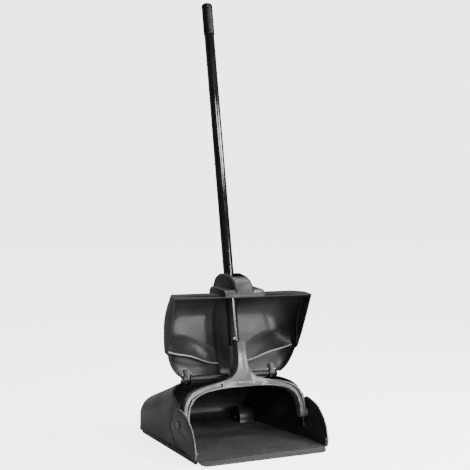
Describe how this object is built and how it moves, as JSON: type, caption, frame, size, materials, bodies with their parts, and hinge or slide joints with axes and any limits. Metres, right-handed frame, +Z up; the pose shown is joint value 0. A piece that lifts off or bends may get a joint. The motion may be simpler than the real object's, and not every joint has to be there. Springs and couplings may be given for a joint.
{
  "type": "lobby dustpan",
  "caption": "Upright lobby dustpan with a rounded hood, a hinged two-bowl cover, an inverted-Y yoke and a long leaning tube handle.",
  "frame": {"origin": "middle of the footprint, on the floor", "axes": "+Z up, the mouth and lip face -Y, the hood is at +Y, X is the width"},
  "size_m": [0.3192, 0.338, 0.9486],
  "materials": {
    "pan_plastic": "satin moulded black",
    "skid_plastic": "dull grey moulded",
    "wheel_plastic": "moulded black",
    "washer_plastic": "moulded black",
    "yoke_plastic": "satin moulded grey",
    "tube_coating": "glossy vinyl coated black",
    "grip_vinyl": "satin black vinyl",
    "pin_steel": "zinc plated",
    "rivet_steel": "dull steel",
    "spring_steel": "spring steel strip"
  },
  "bodies": {
    "pan": {"pan_body": "pan_plastic", "skid_frame": "skid_plastic", "skid_rivets": "rivet_steel", "axle_left": "pin_steel", "axle_right": "pin_steel", "axle_cap_left": "rivet_steel", "axle_cap_right": "rivet_steel", "pivot_pin_left": "washer_plastic", "pivot_pin_right": "washer_plastic", "pivot_washer_left": "washer_plastic", "pivot_washer_right": "washer_plastic", "hinge_pin_left": "pin_steel", "hinge_pin_right": "pin_steel"},
    "handle": {"yoke": "yoke_plastic", "handle_tube": "tube_coating", "button_spring": "spring_steel", "grip_sleeve": "grip_vinyl", "end_cap": "grip_vinyl"},
    "cover": {"cover": "pan_plastic"},
    "button": {"snap_button": "pin_steel"},
    "wheel_left": {"wheel_left": "wheel_plastic"},
    "wheel_right": {"wheel_right": "wheel_plastic"}
  },
  "joints": [
    {"name": "handle_swing", "type": "hinge", "parent": "pan", "child": "handle", "pos_m": [0, -0.0705, 0.062], "axis": [1, 0, 0], "range_deg": [0, 90]},
    {"name": "cover_swing", "type": "hinge", "parent": "pan", "child": "cover", "pos_m": [0, -0.001, 0.138], "axis": [1, 0, 0], "range_deg": [0, 103.5]},
    {"name": "button_press", "type": "slide", "parent": "handle", "child": "button", "axis": [0.4695, 0.8631, -0.186], "range_m": [0, 0.003], "stiffness_N_per_m": 1500},
    {"name": "wheel_left_spin", "type": "hinge", "parent": "pan", "child": "wheel_left", "pos_m": [-0.091, 0.117, 0.0196], "axis": [1, 0, 0], "continuous": true},
    {"name": "wheel_right_spin", "type": "hinge", "parent": "pan", "child": "wheel_right", "pos_m": [0.091, 0.117, 0.0196], "axis": [1, 0, 0], "continuous": true}
  ],
  "couplings": [
    {"joint": "cover_swing", "follows": "handle_swing", "ratio": 1.15}
  ]
}
